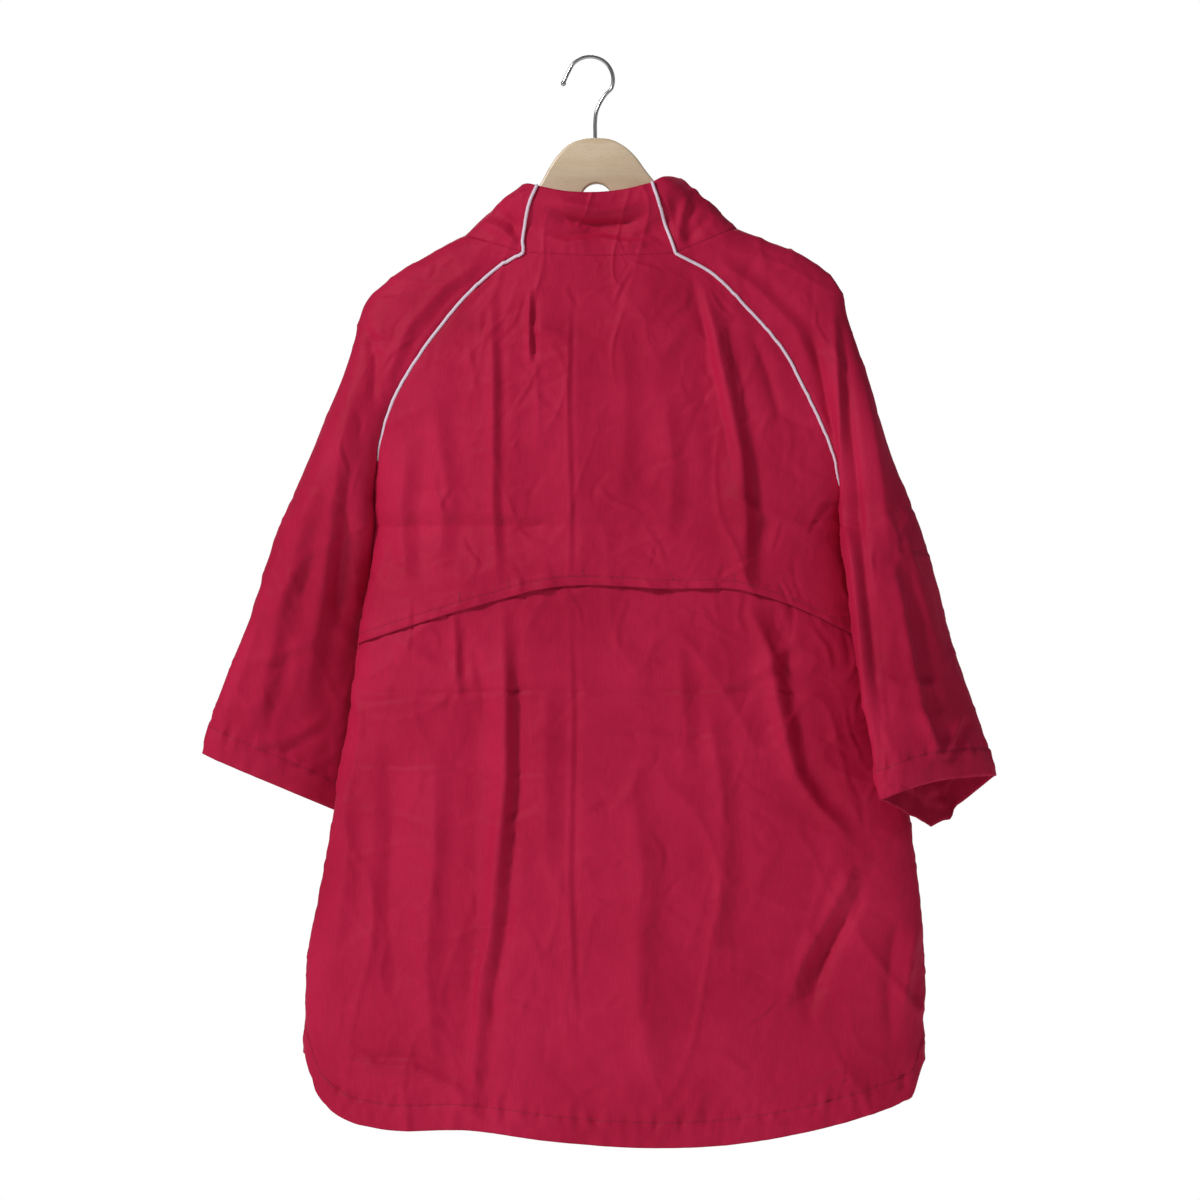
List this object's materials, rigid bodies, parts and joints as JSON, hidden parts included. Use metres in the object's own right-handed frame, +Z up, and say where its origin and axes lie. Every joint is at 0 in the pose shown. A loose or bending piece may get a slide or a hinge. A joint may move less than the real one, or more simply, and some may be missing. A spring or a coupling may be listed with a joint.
{
  "type": "anorak pullover on a wooden hanger",
  "caption": "Crimson pull-on anorak with piped raglan sleeves, stand collar, lapped back yoke and tail hem, hanging on a wooden hanger.",
  "frame": {"origin": "underside of the hook's top bend, where a rail carries the hanger", "axes": "+Z up, +Y the garment's front, +X the wearer's right"},
  "size_m": [0.775, 0.2041, 1.0588],
  "materials": {
    "shell_cloth": "crimson taffeta with a soft sheen",
    "piping": "pale lilac-white corded piping",
    "wood": "clear-lacquered beech",
    "wire": "bright plated wire"
  },
  "bodies": {
    "root": {"back_yoke": "shell_cloth", "back_panel": "shell_cloth", "front_panel": "shell_cloth", "sleeve_left": "shell_cloth", "sleeve_right": "shell_cloth", "collar_back": "shell_cloth", "collar_left": "shell_cloth", "collar_right": "shell_cloth", "piping_raglan_back_left": "piping", "piping_raglan_back_right": "piping", "piping_raglan_front_left": "piping", "piping_raglan_front_right": "piping", "piping_collar_left": "piping", "piping_collar_right": "piping", "hanger_wood": "wood", "hanger_hook": "wire"}
  },
  "joints": []
}
